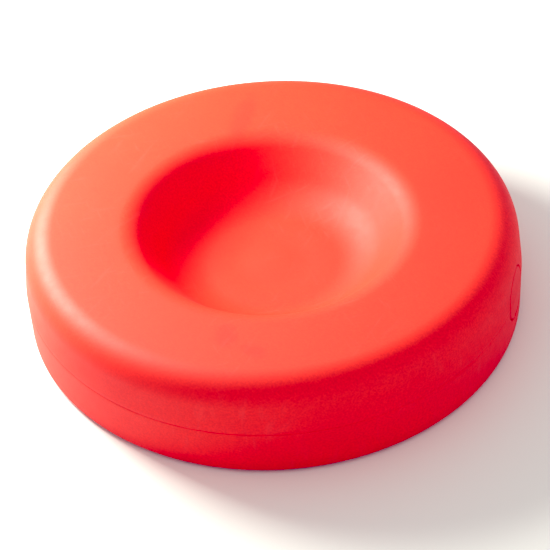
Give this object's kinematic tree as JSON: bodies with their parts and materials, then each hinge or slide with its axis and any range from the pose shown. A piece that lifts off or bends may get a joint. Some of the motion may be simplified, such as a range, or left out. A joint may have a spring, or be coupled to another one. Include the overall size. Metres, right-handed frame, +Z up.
{
  "type": "curling stone",
  "caption": "Round hollow training curling stone with a dished top, a seam round its side, a push-in filler plug and sand inside.",
  "frame": {"origin": "bottom centre: on the floor, on the stone's own axis", "axes": "+Z up along the stone's axis, +X out through the middle of the filler plug"},
  "size_m": [0.281, 0.281, 0.0572],
  "materials": {
    "shell_red": "satin",
    "plug_red": "satin",
    "black_rubber": "matte",
    "neck_white": "satin",
    "band_white": "satin",
    "screw_steel": "satin",
    "dry_sand": "matte"
  },
  "bodies": {
    "stone": {"upper_shell": "shell_red", "lower_shell": "shell_red", "seam_gasket": "black_rubber", "running_band": "band_white", "shell_screws": "screw_steel", "screw_washers": "black_rubber", "filler_neck": "neck_white", "neck_seal": "black_rubber", "sand_ballast": "dry_sand"},
    "plug": {"filler_plug": "plug_red", "plug_seal": "black_rubber"}
  },
  "joints": [
    {"name": "plug_pull", "type": "slide", "parent": "stone", "child": "plug", "axis": [1, 0, 0], "range_m": [0, 0.03]}
  ]
}
